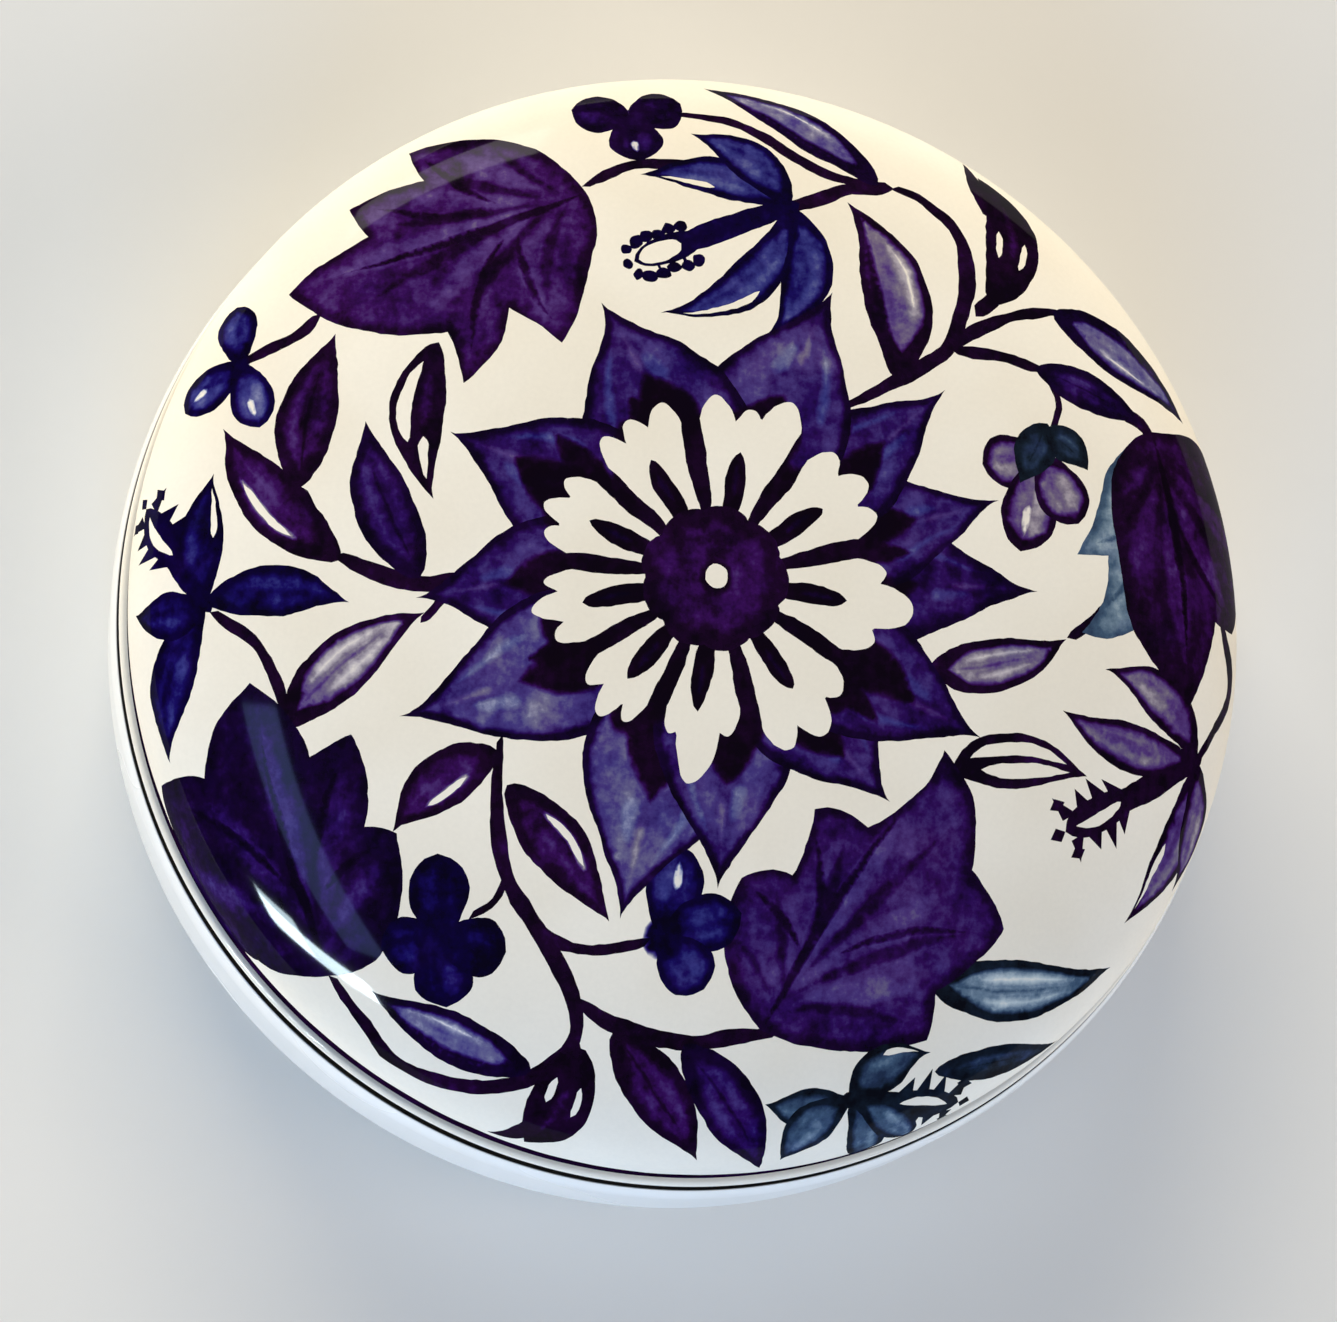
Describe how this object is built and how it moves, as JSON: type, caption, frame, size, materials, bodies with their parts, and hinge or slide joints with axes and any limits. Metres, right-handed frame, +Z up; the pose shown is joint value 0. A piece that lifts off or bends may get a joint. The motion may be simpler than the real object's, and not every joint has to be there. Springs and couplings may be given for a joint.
{
  "type": "round tin box",
  "caption": "Low round tin box with a domed lift-off lid over a necked base, lid enamelled cream with dark violet floral print",
  "frame": {"origin": "centre of the foot ring, at the bottom of the base", "axes": "+Z up along the tin's turning axis, from the foot to the crown of the lid; +X and +Y are any two square directions across it"},
  "size_m": [0.0864, 0.0864, 0.03],
  "materials": {
    "white_enamel": "gloss",
    "printed_enamel": "gloss"
  },
  "bodies": {
    "root": {"base": "white_enamel", "lid": "printed_enamel"}
  },
  "joints": []
}
